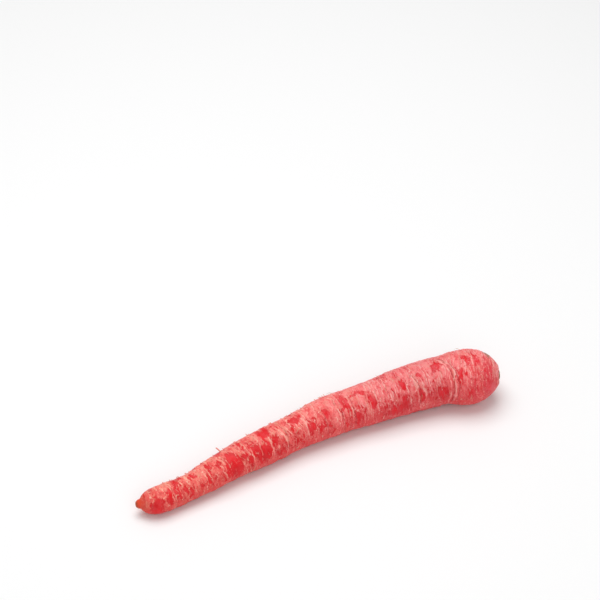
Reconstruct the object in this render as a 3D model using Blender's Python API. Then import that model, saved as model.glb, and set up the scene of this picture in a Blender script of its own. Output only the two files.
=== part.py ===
"""One long red carrot, pulled, washed and trimmed of its leaves, lying on a flat surface.

The carrot is a single grown root, so it is a single closed solid. Its skin is swept along a
gently bowed centre line: a turned profile gives the radius at each distance from the tip, and
soft swellings, ring creases and raised growth rings are added along the skin's own normal. The
underside is pressed flat where it meets the surface, which keeps the root from rolling.

Units are metres, +Z is up, +X runs from the tip to the crown, and the surface is at Z = 0.
"""

import math

import bmesh
import bpy
import numpy as np

MM = 0.001

# Driving dimensions of the root
ROOT_LENGTH = 250 * MM
SURFACE_HEIGHT = 0.0

# Half of the outline, from the tip to the crown: distance along the root and radius, in mm.
# The small nub is where the thin tail of the root broke off.
TIP_PROFILE = (
    (0, 0),
    (0.4, 1.4),
    (1.5, 2.3),
    (3.0, 2.9),
    (4.4, 4.5),
    (6.4, 6.3),
    (9.2, 7.6),
    (13, 8.3),
)
BODY_PROFILE = (
    (19, 8.35),
    (33, 8.1),
    (41, 8.3),
    (54, 9.4),
    (69, 10.2),
    (90, 11.1),
    (104, 11.0),
    (119, 11.5),
    (128, 12.4),
    (148, 12.8),
    (175, 14.0),
    (202, 15.2),
    (214, 15.7),
    (221, 16.8),
    (229, 17.5),
)
CROWN_PROFILE = (
    (235, 16.9),
    (240.2, 14.9),
    (244.4, 11.7),
    (247.2, 8.5),
    (248.6, 6.6),
    (249.1, 5.7),
)
# The shallow pit at the crown, and the stump in it where the leaf stalks were cut away.
PIT_PROFILE = (
    (248.7, 4.9),
    (247.9, 4.4),
    (247.6, 3.9),
    (248.1, 3.4),
    (249.3, 3.0),
    (249.8, 2.3),
    (250, 1.2),
    (250, 0),
)

# The bow of the centre line, seen from above: distance from the tip and sideways drift, in mm.
BOW = (
    (0, 0),
    (12, -1.9),
    (25, -1.1),
    (46, 1.9),
    (67, 6.5),
    (89, 9.8),
    (110, 13.0),
    (132, 15.4),
    (162, 15.2),
    (193, 14.2),
    (212, 11.6),
    (230, 5.8),
    (246, 0),
)
# The height of the centre line over the surface: distance along the root and height, in mm.
RISE = (
    (0, 8.0),
    (30, 7.9),
    (60, 9.6),
    (105, 11.1),
    (128, 11.9),
    (150, 12.7),
    (190, 14.4),
    (215, 16.2),
    (231, 17.0),
    (250, 17.2),
)

# Mesh density: sides round the root, rings of points along it, and how much closer together
# the rings are at the two ends.
SIDES = 32
STATIONS = 170
END_CROWDING = 0.35

# The centre line is measured along this many points, and its direction at a point is taken
# from this far on either side.
BOW_POINTS = 400
DIRECTION_REACH = 2 * MM

# Soft swellings of the whole body: height in mm, waves along the root, lobes round it, phase.
SWELLINGS = (
    (0.22, 3.0, 2, 0.6),
    (0.16, 5.0, 1, 2.1),
    (0.14, 7.0, 3, 4.0),
    (0.12, 11.0, 2, 1.3),
)

# Relief fades out towards the axis inside this radius.
RELIEF_FROM_RADIUS = 6 * MM

# Ring creases. Each has its distance from the tip, depth and half width in mm, its middle and
# half arc in degrees round the root, and how far its ends lean back to the tip, in mm. The
# angle is 0 at the top and 90 on the -Y side.
CREASES = (
    (22.0, 0.30, 1.3, 45, 85, 1),
    (28.0, 0.25, 1.3, 45, 65, 1),
    (41.5, 0.30, 1.3, 45, 75, 2),
    (74.5, 0.25, 1.3, 105, 90, 8),
    (83.5, 0.35, 1.3, 40, 65, 0),
    (102.3, 0.45, 1.5, 36, 90, 6),
    (129.0, 0.30, 1.3, 60, 60, 0),
    (141.0, 0.35, 1.3, 60, 70, -3),
    (149.5, 0.40, 1.4, 50, 70, 2),
    (194.6, 0.40, 1.4, 56, 75, 10),
    (218.4, 0.80, 1.4, 58, 110, 8),
    (222.0, 0.40, 1.3, 62, 90, 12),
)

# Lesser creases and raised growth rings, scattered by one seeded draw: how many of each, and
# their least and greatest height in mm.
SCATTER_SEED = 7
SCATTERED = ((28, -0.34, -0.14), (36, 0.12, 0.28))
SCATTER_REACH = (14, 238)
SCATTER_HALF_WIDTH = (1.1, 1.8)
SCATTER_HALF_ARC = (35, 100)
SCATTER_LEAN = (-3, 7)

# The skin's plain colour, in linear light, and its roughness.
SKIN_COLOUR = (0.72, 0.10, 0.10, 1)
SKIN_ROUGHNESS = 0.45


def smooth_curve(points, where):
    """Values at the places asked for, on a smooth curve through points of (place, value)."""
    place, value = np.array(points, float).T
    slope = np.gradient(value, place)
    index = np.clip(np.searchsorted(place, where) - 1, 0, len(place) - 2)
    gap = place[index + 1] - place[index]
    t = np.clip((where - place[index]) / gap, 0, 1)
    start = (2 * t**3 - 3 * t**2 + 1) * value[index] + (t**3 - 2 * t**2 + t) * gap * slope[index]
    end = (3 * t**2 - 2 * t**3) * value[index + 1] + (t**3 - t**2) * gap * slope[index + 1]
    return start + end


def profile():
    """(distance from the tip, radius) down the whole outline, crowded towards both ends."""
    points = np.array(TIP_PROFILE + BODY_PROFILE + CROWN_PROFILE + PIT_PROFILE, float) * MM
    walked = np.r_[0, np.cumsum(np.hypot(*np.diff(points, axis=0).T))]
    share = np.linspace(-1, 1, STATIONS)
    crowded = (1 - END_CROWDING) * share + END_CROWDING * np.sin(share * math.pi / 2)
    where = (crowded + 1) / 2 * walked[-1]
    along = smooth_curve(np.c_[walked, points[:, 0]], where)
    radius = smooth_curve(np.c_[walked, points[:, 1]], where)
    return along, np.maximum(radius, 0)


def centre_line(along):
    """The centre line's points at these distances, with its side and up directions."""
    across = np.linspace(0, BOW[-1][0], BOW_POINTS) * MM
    drift = smooth_curve(np.array(BOW) * MM, across)
    walked = np.r_[0, np.cumsum(np.hypot(np.diff(across), np.diff(drift)))]
    walked *= ROOT_LENGTH / walked[-1]

    def place(where):
        height = smooth_curve(np.array(RISE) * MM, where)
        return np.c_[np.interp(where, walked, across), np.interp(where, walked, drift), height]

    forward = place(along + DIRECTION_REACH) - place(along - DIRECTION_REACH)
    forward /= np.linalg.norm(forward, axis=1)[:, None]
    side = np.cross(forward, (0, 0, 1))
    side /= np.linalg.norm(side, axis=1)[:, None]
    return place(along), side, np.cross(side, forward)


def turned_from(angle, middle):
    """The angle from the middle, between minus and plus half a turn."""
    return (angle - middle + math.pi) % (2 * math.pi) - math.pi


def ring_marks():
    """All ring marks as (distance, height, half width, middle, half arc, lean), in mm and degrees."""
    draw = np.random.default_rng(SCATTER_SEED)
    marks = [(place, -depth, *rest) for place, depth, *rest in CREASES]
    for count, low, high in SCATTERED:
        for _ in range(count):
            marks.append((
                draw.uniform(*SCATTER_REACH),
                draw.uniform(low, high),
                draw.uniform(*SCATTER_HALF_WIDTH),
                draw.uniform(-180, 180),
                draw.uniform(*SCATTER_HALF_ARC),
                draw.uniform(*SCATTER_LEAN),
            ))
    return marks


def relief(along, angle):
    """How far the skin stands out from the turned profile, in metres."""
    share = along / ROOT_LENGTH
    height = np.zeros(np.broadcast(along, angle).shape)
    for size, waves, lobes, phase in SWELLINGS:
        height += size * np.sin(2 * math.pi * waves * share + phase) * np.cos(lobes * angle + phase)
    for place, size, half_width, middle, half_arc, lean in ring_marks():
        turn = turned_from(angle, math.radians(middle))
        arc = np.clip(1 - (turn / math.radians(half_arc)) ** 2, 0, 1)
        offset = (along / MM - place - lean * (np.cos(turn) - 1)) / half_width
        height += size * arc * np.exp(-(offset**2))
    return height * MM


def skin_points():
    """The skin's points, ring by ring along the root, and its two end points."""
    along, radius = profile()
    centre, side, up = centre_line(along)
    forward = np.cross(up, side)
    angle = np.arange(SIDES) * 2 * math.pi / SIDES
    outward = (
        np.cos(angle)[None, :, None] * up[:, None, :] + np.sin(angle)[None, :, None] * side[:, None, :]
    )
    lean = np.arctan2(np.gradient(radius), np.gradient(along))[:, None, None]
    normal = np.cos(lean) * outward - np.sin(lean) * forward[:, None, :]
    fade = np.clip(radius / RELIEF_FROM_RADIUS, 0, 1)[:, None, None]
    height = relief(along[:, None], angle[None, :])[:, :, None]
    points = centre[:, None, :] + radius[:, None, None] * outward + fade * height * normal
    points[..., 2] = np.maximum(points[..., 2], SURFACE_HEIGHT)
    return points[1:-1], centre[0], centre[-1]


def set_on_origin(points):
    """Moves the points so that the middle of their box, at the surface, is the origin."""
    low, high = points.min(axis=0), points.max(axis=0)
    middle = (low + high) / 2
    return points - (middle[0], middle[1], low[2])


def root_mesh():
    """The root's closed mesh: a grid of quads round it, with a fan of triangles at each end."""
    rings, tip, crown = skin_points()
    points = set_on_origin(np.vstack([rings.reshape(-1, 3), tip, crown]))
    grid = bmesh.new()
    verts = [grid.verts.new(p) for p in points]
    tip_vert, crown_vert = verts[-2], verts[-1]
    count = len(rings)
    for row in range(count - 1):
        for column in range(SIDES):
            following = (column + 1) % SIDES
            here, ahead = row * SIDES, (row + 1) * SIDES
            grid.faces.new((
                verts[here + column],
                verts[ahead + column],
                verts[ahead + following],
                verts[here + following],
            ))
    last = (count - 1) * SIDES
    for column in range(SIDES):
        following = (column + 1) % SIDES
        grid.faces.new((tip_vert, verts[column], verts[following]))
        grid.faces.new((crown_vert, verts[last + following], verts[last + column]))
    bmesh.ops.recalc_face_normals(grid, faces=grid.faces)
    mesh = bpy.data.meshes.new("carrot_root")
    grid.to_mesh(mesh)
    grid.free()
    mesh.shade_smooth()
    return mesh


def skin_material():
    material = bpy.data.materials.new("red_carrot_skin")
    material.use_nodes = True
    surface = material.node_tree.nodes["Principled BSDF"]
    surface.inputs["Base Color"].default_value = SKIN_COLOUR
    surface.inputs["Roughness"].default_value = SKIN_ROUGHNESS
    surface.inputs["Metallic"].default_value = 0.0
    return material


def clear_scene():
    for old in list(bpy.data.objects):
        bpy.data.objects.remove(old, do_unlink=True)


def main():
    clear_scene()
    root = bpy.data.objects.new("carrot_root", root_mesh())
    root.data.materials.append(skin_material())
    bpy.context.scene.collection.objects.link(root)


main()
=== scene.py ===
"""The looks of one long red carrot: its scraped skin over glossy flesh, and its fine hairs.

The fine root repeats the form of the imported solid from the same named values, and adds what is
too small for it: thin growth ridges, the thickness of the skin round each bare patch, and dents.
"""

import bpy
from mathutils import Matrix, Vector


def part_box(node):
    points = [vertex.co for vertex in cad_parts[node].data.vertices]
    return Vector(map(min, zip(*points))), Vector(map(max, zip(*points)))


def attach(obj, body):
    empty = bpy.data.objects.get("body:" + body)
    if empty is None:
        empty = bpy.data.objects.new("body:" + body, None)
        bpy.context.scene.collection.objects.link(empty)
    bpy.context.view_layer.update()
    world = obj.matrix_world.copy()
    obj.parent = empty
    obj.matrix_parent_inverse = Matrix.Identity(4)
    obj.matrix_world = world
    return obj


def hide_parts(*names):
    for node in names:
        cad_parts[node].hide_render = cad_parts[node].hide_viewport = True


bl_info = {
    "name": "Red carrot",
    "version": (1, 0, 0),
    "blender": (4, 5, 0),
    "location": "3D View > Sidebar > Carrot",
    "description": "Grows the fine surface of a scraped red carrot on its packed solid",
    "category": "Object",
}

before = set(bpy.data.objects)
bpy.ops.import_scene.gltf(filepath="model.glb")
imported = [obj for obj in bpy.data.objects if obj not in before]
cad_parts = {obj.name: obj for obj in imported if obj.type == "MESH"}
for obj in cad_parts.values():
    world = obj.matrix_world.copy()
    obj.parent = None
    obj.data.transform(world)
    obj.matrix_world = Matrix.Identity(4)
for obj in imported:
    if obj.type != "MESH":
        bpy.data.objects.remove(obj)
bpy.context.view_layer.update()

import itertools
import math

import bpy
import numpy as np
from bpy.props import FloatProperty, FloatVectorProperty, IntProperty, PointerProperty
from mathutils import Vector

MM = 0.001
NODE = "carrot_root"

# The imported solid's length along the root
ROOT_LENGTH = 250 * MM

# Half of the outline, from the tip to the crown: distance along the root and radius, in mm
TIP_PROFILE = (
    (0, 0),
    (0.4, 1.4),
    (1.5, 2.3),
    (3.0, 2.9),
    (4.4, 4.5),
    (6.4, 6.3),
    (9.2, 7.6),
    (13, 8.3),
)
BODY_PROFILE = (
    (19, 8.35),
    (33, 8.1),
    (41, 8.3),
    (54, 9.4),
    (69, 10.2),
    (90, 11.1),
    (104, 11.0),
    (119, 11.5),
    (128, 12.4),
    (148, 12.8),
    (175, 14.0),
    (202, 15.2),
    (214, 15.7),
    (221, 16.8),
    (229, 17.5),
)
CROWN_PROFILE = (
    (235, 16.9),
    (240.2, 14.9),
    (244.4, 11.7),
    (247.2, 8.5),
    (248.6, 6.6),
    (249.1, 5.7),
)
# The shallow pit at the crown, with the stump of the leaves in it
PIT_PROFILE = (
    (248.7, 4.9),
    (247.9, 4.4),
    (247.6, 3.9),
    (248.1, 3.4),
    (249.3, 3.0),
    (249.8, 2.3),
    (250, 1.2),
    (250, 0),
)

# The bow of the centre line seen from above, and its height over the surface, in mm
BOW = (
    (0, 0),
    (12, -1.9),
    (25, -1.1),
    (46, 1.9),
    (67, 6.5),
    (89, 9.8),
    (110, 13.0),
    (132, 15.4),
    (162, 15.2),
    (193, 14.2),
    (212, 11.6),
    (230, 5.8),
    (246, 0),
)
RISE = (
    (0, 8.0),
    (30, 7.9),
    (60, 9.6),
    (105, 11.1),
    (128, 11.9),
    (150, 12.7),
    (190, 14.4),
    (215, 16.2),
    (231, 17.0),
    (250, 17.2),
)
# The centre line is measured along this many points, and its direction at a point is taken
# from this far on either side
BOW_POINTS = 400
DIRECTION_REACH = 2 * MM
# How much closer together the rings of points are at the two ends
END_CROWDING = 0.2

# Soft swellings: height in mm, waves along the root, lobes round it, phase
SWELLINGS = (
    (0.22, 3.0, 2, 0.6),
    (0.16, 5.0, 1, 2.1),
    (0.14, 7.0, 3, 4.0),
    (0.12, 11.0, 2, 1.3),
)
# Relief fades out towards the axis inside this radius
RELIEF_FROM_RADIUS = 6 * MM

# Ring creases: distance from the tip, depth and half width in mm, middle and half arc in
# degrees, and how far the ends lean back to the tip, in mm. The angle is 0 at the top and 90
# on the -Y side.
CREASES = (
    (22.0, 0.30, 1.3, 45, 85, 1),
    (28.0, 0.25, 1.3, 45, 65, 1),
    (41.5, 0.30, 1.3, 45, 75, 2),
    (74.5, 0.25, 1.3, 105, 90, 8),
    (83.5, 0.35, 1.3, 40, 65, 0),
    (102.3, 0.45, 1.5, 36, 90, 6),
    (129.0, 0.30, 1.3, 60, 60, 0),
    (141.0, 0.35, 1.3, 60, 70, -3),
    (149.5, 0.40, 1.4, 50, 70, 2),
    (194.6, 0.40, 1.4, 56, 75, 10),
    (218.4, 0.80, 1.4, 58, 110, 8),
    (222.0, 0.40, 1.3, 62, 90, 12),
)
# Lesser creases and raised growth rings, scattered by one seeded draw: how many of each, and
# their least and greatest height in mm
SCATTER_SEED = 7
SCATTERED = ((28, -0.34, -0.14), (36, 0.12, 0.28))
SCATTER_REACH = (14, 238)
SCATTER_HALF_WIDTH = (1.1, 1.8)
SCATTER_HALF_ARC = (35, 100)
SCATTER_LEAN = (-3, 7)

# The painted shade line at the bottom of a crease: its half width, and the depth that makes it
# darkest, in mm
CREASE_LINE = 0.50
FULL_CREASE = 0.40
# How far the line strays along the root, in mm
CREASE_WANDER = 1.2

# Pale growth ridges that stand out: distance, height and half width in mm, middle and half arc
# in degrees, lean in mm
RIDGES = (
    (21.4, 0.20, 0.55, 45, 80, 1),
    (26.9, 0.18, 0.50, 50, 60, 1),
    (41.0, 0.16, 0.50, 55, 60, 2),
    (47.0, 0.14, 0.45, 80, 45, 2),
    (57.0, 0.20, 0.70, 20, 60, 2),
    (70.5, 0.16, 0.60, 90, 80, 7),
    (76.8, 0.18, 0.50, 50, 55, 1),
    (83.0, 0.20, 0.50, 35, 55, 1),
    (90.1, 0.20, 0.50, 45, 55, 1),
    (100.6, 0.24, 0.60, 60, 70, 6),
    (116.4, 0.20, 0.60, 50, 60, 3),
    (128.6, 0.22, 0.55, 55, 50, 1),
    (139.6, 0.20, 0.50, 55, 50, 2),
    (148.2, 0.18, 0.50, 50, 45, 2),
    (159.8, 0.18, 0.50, 50, 50, 2),
    (164.6, 0.24, 0.50, 42, 60, 3),
    (167.3, 0.18, 0.45, 75, 30, 1),
    (174.5, 0.22, 0.50, 40, 60, 4),
    (178.6, 0.18, 0.45, 50, 60, 5),
    (187.0, 0.16, 0.45, 55, 60, 6),
    (193.0, 0.22, 0.50, 50, 70, 9),
    (197.2, 0.20, 0.50, 55, 60, 8),
    (201.6, 0.16, 0.45, 60, 50, 8),
    (208.4, 0.20, 0.45, 50, 40, 4),
    (216.6, 0.30, 0.60, 56, 100, 8),
    (220.2, 0.34, 0.75, 60, 95, 10),
    (226.5, 0.14, 0.50, 20, 60, 9),
    (231.0, 0.14, 0.50, 15, 55, 8),
)
# How far the ridges stray along the root, in mm, and how the noise wears them down
RIDGE_WAVER = 3.0
RIDGE_WEAR = (3.2, 0.65)

# Bare patches, where the skin is scraped off the flesh: distance from the tip in mm, angle in
# degrees, half length along the root and half length round it in mm, and slant in degrees
BARE_PATCHES = (
    (11.5, 78, 4.0, 7.0, 0),
    (8.0, 50, 1.6, 2.6, 0),
    (19.5, 48, 1.9, 6.0, 14),
    (25.0, 40, 2.6, 6.5, 0),
    (30.5, 44, 1.7, 3.6, 10),
    (33.0, 70, 1.5, 2.4, 0),
    (38.5, 4, 1.7, 1.9, 0),
    (35.0, 18, 1.4, 1.4, 0),
    (40.5, 60, 1.5, 2.6, 16),
    (45.5, 62, 1.6, 3.0, 10),
    (48.5, 2, 3.0, 2.2, 20),
    (55.5, 8, 2.2, 2.2, 0),
    (54.0, 84, 1.4, 2.0, 0),
    (63.5, 46, 6.5, 9.0, 0),
    (72.5, 34, 3.4, 2.6, -32),
    (75.5, 62, 1.5, 3.0, 10),
    (79.5, 32, 2.9, 6.2, -16),
    (81.5, 68, 1.6, 3.4, 0),
    (86.0, 50, 3.6, 9.0, 0),
    (93.5, 38, 2.8, 3.6, 0),
    (95.5, 80, 4.4, 3.4, 24),
    (90.0, -4, 4.8, 4.0, 0),
    (106.0, 34, 1.1, 2.2, 0),
    (111.5, 0, 5.4, 2.6, -14),
    (112.0, 68, 1.6, 1.2, 0),
    (108.0, 66, 1.1, 1.1, 0),
    (119.5, 42, 2.9, 4.6, 8),
    (124.5, 64, 3.3, 2.9, 0),
    (131.5, 26, 2.7, 2.9, 0),
    (131.5, 86, 2.6, 1.8, 0),
    (144.5, 16, 2.8, 5.8, 8),
    (154.5, 8, 7.2, 2.0, 0),
    (151.0, 76, 3.4, 2.8, 0),
    (156.0, 58, 1.5, 1.3, 0),
    (162.0, 42, 2.3, 6.2, -4),
    (168.0, 70, 1.5, 2.2, 12),
    (177.0, 26, 1.0, 2.2, -8),
    (176.0, 86, 8.0, 3.4, 4),
    (181.5, 78, 2.8, 6.0, 8),
    (183.5, 28, 3.1, 4.2, -10),
    (194.5, 72, 1.9, 6.4, 4),
    (196.5, 22, 2.2, 2.2, 0),
    (208.5, 8, 4.0, 3.4, -20),
    (205.5, 20, 1.6, 1.6, 0),
    (209.5, 76, 3.8, 5.4, 6),
    (223.5, 38, 1.9, 5.0, -6),
    (227.5, 6, 2.6, 2.0, 0),
    (234.5, 12, 2.0, 1.5, 0),
    (231.5, 58, 1.6, 2.4, 0),
    (229.5, 88, 2.4, 2.6, 0),
    (241.0, 66, 3.9, 10.5, -4),
    (245.0, 86, 2.2, 5.0, 0),
)
# The patches above are on the side between these two angles; round the rest they are scattered
PLACED_SIDE = (-32, 118)
STRAY_SEED = 21
STRAY_PATCHES = 74
STRAY_REACH = (12, 244)
STRAY_HALF_LENGTH = (1.2, 5.0)
STRAY_HALF_ROUND = (1.8, 8.0)
STRAY_SLANT = 26

# Patches where the scraping left only a thin film of skin, given in the same way
FILM_PATCHES = (
    (8.0, 60, 8.5, 15.0, 0),
    (9.0, 10, 5.0, 6.0, 0),
    (27.0, 45, 7.0, 8.0, 0),
    (46.0, 55, 6.0, 7.0, 0),
    (62.0, 30, 11.0, 13.0, 0),
    (76.0, 50, 8.0, 10.0, 0),
    (72.0, 6, 8.0, 5.0, 0),
    (93.0, 44, 9.0, 13.0, 0),
    (108.0, 60, 9.0, 9.0, 0),
    (96.0, 6, 8.0, 5.0, 0),
    (126.0, 50, 8.0, 9.0, 0),
    (148.0, 60, 9.0, 11.0, 0),
    (180.0, 60, 12.0, 12.0, 0),
    (207.0, 14, 6.0, 5.0, -20),
    (208.0, 72, 9.0, 9.0, 0),
    (233.0, 24, 8.0, 11.0, 0),
    (240.5, 52, 6.5, 17.0, 0),
    (234.0, 92, 9.0, 9.0, 0),
)
# Olive-brown traces of old leaf bases on the crown's shoulder, given in the same way
LEAF_BASES = (
    (241.5, -33, 1.7, 4.4, -12),
    (243.6, -74, 0.9, 3.0, 0),
    (242.4, -142, 0.9, 4.2, 8),
    (244.4, 176, 0.8, 2.6, 0),
    (243.0, 148, 0.9, 3.0, -6),
)
# A patch is at its fullest inside this share of its size, and has gone by this share
PATCH_CORE, PATCH_REACH = 0.45, 1.45
# Farther from every patch, in shares of its size, than it reaches
FAR_FROM_PATCHES = 9.0
# How bare a bare patch, a film and the rest of the skin are: the flesh shows over 0, and the
# noise in the material is added to this and tears the edges
BARE, FILM, COVERED = 0.15, -0.05, -0.19

# The skin over the bare flesh: its thickness in mm, and how sharply it ends
SKIN_THICKNESS = 0.14
SKIN_EDGE = 30
# Heights of the thin growth rings, of the skin's unevenness and of its dents, in mm
RING_HEIGHT = 0.24
UNEVEN_HEIGHT = 0.55
DENT_HEIGHT = 0.9
# How thin the rings are, and how the noise breaks them up
RING_SHARPNESS = 4
RING_BREAKS = (3, 1.1)

# Noises over the straightened root: the grain in mm, along the root and across it, and the seed
WAVER_NOISE = ((12, 5, 5), 41)
WEAR_NOISE = ((7, 4, 4), 43)
WANDER_NOISE = ((9, 3, 3), 44)
RING_NOISE = ((2.4, 18, 18), 5)
BREAK_NOISE = ((9, 9, 9), 8)
UNEVEN_NOISE = ((3.2, 7, 7), 12)
DENT_NOISE = ((9, 9, 9), 15)
# The two that bend the outlines of the patches, finer than the rest, and how far they reach
# along the root and round it, in mm
WARP_NOISES = (((3.0, 4.5, 4.5), 31), ((3.0, 4.5, 4.5), 57))
WARP_REACH = (5.0, 9.0)
WARP_OCTAVES = 4

# Large odd numbers that mix the three numbers of a place and a seed into one number, in rounds
# of a shift and a factor, and how much of the outcome is kept
PLACE_FACTORS = np.array((374761393, 668265263, 974634777))
SEED_FACTOR = 362437
MIXING_ROUNDS = ((13, 1274126177), (16, 668265263))
MIXED_BITS, KEPT_BITS = 0xFFFFFFFF, 0xFFFFFF
# How far each finer layer of a noise is moved from the last
OCTAVE_SHIFT = 17.3

# The broken tip's colour ends at this distance from the tip, after fading out over the second, in
# mm, and the stump's does the same by distance from the axis, past this distance along the root
NUB_END, NUB_FADE = 7, 5
PIT_EDGE, PIT_FADE = 6.6, 2.4
CROWN_HALF = 200

# Scraps on the skin: the points along each, where they may stand round the root, in degrees,
# and how near to the floor they may hang
SCRAP_POINTS = 9
SCRAP_ANGLE = (-115, 110)
FLOOR_CLEARANCE = 0.4 * MM
# The grid's last stations are in the pit, and no scrap stands there
OUTSIDE_SHARE = 0.9
# A direction that no scrap and no stalk follows
ASKEW = (0.31, 0.22, 0.92)

# Rootlets: their places along the root, their length and their radius in mm, how far they turn
# from straight round the root, in radians, and how much they curl
HAIR_SEED = 5
HAIR_ALONG = (30, 235)
HAIR_LENGTH = (2.5, 6.0)
HAIR_RADIUS = (0.10, 0.17)
HAIR_HEADING = 0.9
HAIR_CURL = 0.8
# How high they rise, how far round their arch goes and how deep they root, and how much thicker
# they are at the foot
HAIR_ARCH = (0.55, 2.4, 0.12)
HAIR_FOOT = 1.25
HAIR_SIDES = 5

# Curls of skin: place along the root in mm, angle in degrees, length in mm, and rise as a share
# of it, for one that the photograph shows, for the scattered ones and for the far side's fringe
SHRED_SEED = 12
PLACED_SHRED = (61, -38, 5.4, 1.1)
SHRED_SPANS = ((26, 236), SCRAP_ANGLE, (1.6, 3.2), (0.25, 0.6))
FRINGE_SPANS = ((20, 150), (-66, -36), (0.9, 2.2), (0.4, 1.0))
# How far round their arch goes and how deep they root
SHRED_ARCH = (2.6, 0.08)
# Their radius at the ends, and how much it grows to the middle: this much, in mm, and a share
# of their length
SHRED_END = 0.05 * MM
SHRED_RADIUS = 0.12
SHRED_GROWTH = 0.05
SHRED_SIDES = 6

# Cut stalks, in a spiral on the stump: how far under the end of the root they start, and how
# far out from the axis they stand
STALK_SEED = 3
GOLDEN_ANGLE = math.radians(137.5)
STALK_DEPTH = 2 * MM
STALK_SPREAD = 2.4 * MM
# Their height, how much lower the outer ones are, how uneven they are and their radius, in mm,
# and how they lean outwards
STALK_HEIGHT = 2.05
STALK_DROP = 0.3
STALK_UNEVEN = (-0.25, 0.15)
STALK_RADIUS = (0.60, 0.95)
STALK_LEAN = 0.25
# A stalk's outline: shares of its height and of its radius
STALK_OUTLINE = ((0, 1.1), (0.35, 1.05), (0.7, 1.0), (0.92, 0.95), (1.0, 0.75), (0.97, 0.35))
STALK_SIDES = 10

# The floor's half size and height, and the lights' places and size, in metres
FLOOR_HALF = 3.0
FLOOR_HEIGHT = -0.1 * MM
KEY_LIGHT = (-0.02, 0.25, 1.2)
FILL_LIGHT = (-0.20, -1.05, 0.9)
LIGHT_SIZE = 1.0

# The photograph's view: where the camera aims on the surface, and from where, in mm and degrees
VIEW_TARGET = (46.7, 126.4, 0.0)
VIEW_AZIMUTH = -24.8
VIEW_ELEVATION = 41.0
VIEW_DISTANCE = 1343.0
VIEW_ANGLE = 17.0


def smooth_curve(points, where):
    """Values at the places asked for, on a smooth curve through points of (place, value)."""
    place, value = np.array(points, float).T
    slope = np.gradient(value, place)
    index = np.clip(np.searchsorted(place, where) - 1, 0, len(place) - 2)
    gap = place[index + 1] - place[index]
    t = np.clip((where - place[index]) / gap, 0, 1)
    start = (2 * t**3 - 3 * t**2 + 1) * value[index] + (t**3 - 2 * t**2 + t) * gap * slope[index]
    end = (3 * t**2 - 2 * t**3) * value[index + 1] + (t**3 - t**2) * gap * slope[index + 1]
    return start + end


def profile(stations):
    """(distance from the tip, radius) down the whole outline, crowded towards both ends."""
    points = np.array(TIP_PROFILE + BODY_PROFILE + CROWN_PROFILE + PIT_PROFILE, float) * MM
    walked = np.r_[0, np.cumsum(np.hypot(*np.diff(points, axis=0).T))]
    share = np.linspace(-1, 1, stations)
    crowded = (1 - END_CROWDING) * share + END_CROWDING * np.sin(share * math.pi / 2)
    where = (crowded + 1) / 2 * walked[-1]
    along = smooth_curve(np.c_[walked, points[:, 0]], where)
    radius = smooth_curve(np.c_[walked, points[:, 1]], where)
    return along, np.maximum(radius, 0)


def centre_line(along):
    """The centre line's points at these distances, with its side and up directions."""
    across = np.linspace(0, BOW[-1][0], BOW_POINTS) * MM
    drift = smooth_curve(np.array(BOW) * MM, across)
    walked = np.r_[0, np.cumsum(np.hypot(np.diff(across), np.diff(drift)))]
    walked *= ROOT_LENGTH / walked[-1]

    def place(where):
        height = smooth_curve(np.array(RISE) * MM, where)
        return np.c_[np.interp(where, walked, across), np.interp(where, walked, drift), height]

    forward = place(along + DIRECTION_REACH) - place(along - DIRECTION_REACH)
    forward /= np.linalg.norm(forward, axis=1)[:, None]
    side = np.cross(forward, (0, 0, 1))
    side /= np.linalg.norm(side, axis=1)[:, None]
    return place(along), side, np.cross(side, forward)


def turned_from(angle, middle):
    """The angle from the middle, between minus and plus half a turn."""
    return (angle - middle + math.pi) % (2 * math.pi) - math.pi


def drawn(draw, count, spans):
    """Rows of seeded numbers, each with one number from every span in turn."""
    return [tuple(draw.uniform(*span) for span in spans) for _ in range(count)]


def scattered_marks():
    """The lesser creases and growth rings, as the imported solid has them."""
    draw = np.random.default_rng(SCATTER_SEED)
    marks = []
    for count, *heights in SCATTERED:
        where = SCATTER_REACH, heights, SCATTER_HALF_WIDTH
        marks += drawn(draw, count, (*where, (-180, 180), SCATTER_HALF_ARC, SCATTER_LEAN))
    return marks


def ring_marks(along, angle, marks):
    """The summed height of these marks, in mm.

    Each has its distance, height and half width in mm, its middle and half arc in degrees, and
    its lean in mm.
    """
    height = np.zeros(np.broadcast(along, angle).shape)
    for place, size, half_width, middle, half_arc, lean in marks:
        turn = turned_from(angle, math.radians(middle))
        arc = np.clip(1 - (turn / math.radians(half_arc)) ** 2, 0, 1)
        offset = (along / MM - place - lean * (np.cos(turn) - 1)) / half_width
        height += size * arc * np.exp(-(offset**2))
    return height


def swellings(along, angle):
    """The soft swellings of the whole body, in mm."""
    share = along / ROOT_LENGTH
    height = np.zeros(np.broadcast(along, angle).shape)
    for size, waves, lobes, phase in SWELLINGS:
        height += size * np.sin(2 * math.pi * waves * share + phase) * np.cos(lobes * angle + phase)
    return height


def lattice(corner, seed):
    """A repeatable number from 0 to 1 at each whole place."""
    mixed = ((corner * PLACE_FACTORS).sum(axis=-1) + seed * SEED_FACTOR) & MIXED_BITS
    for shift, factor in MIXING_ROUNDS:
        mixed = ((mixed ^ (mixed >> shift)) * factor) & MIXED_BITS
    return (mixed & KEPT_BITS) / KEPT_BITS


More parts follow.
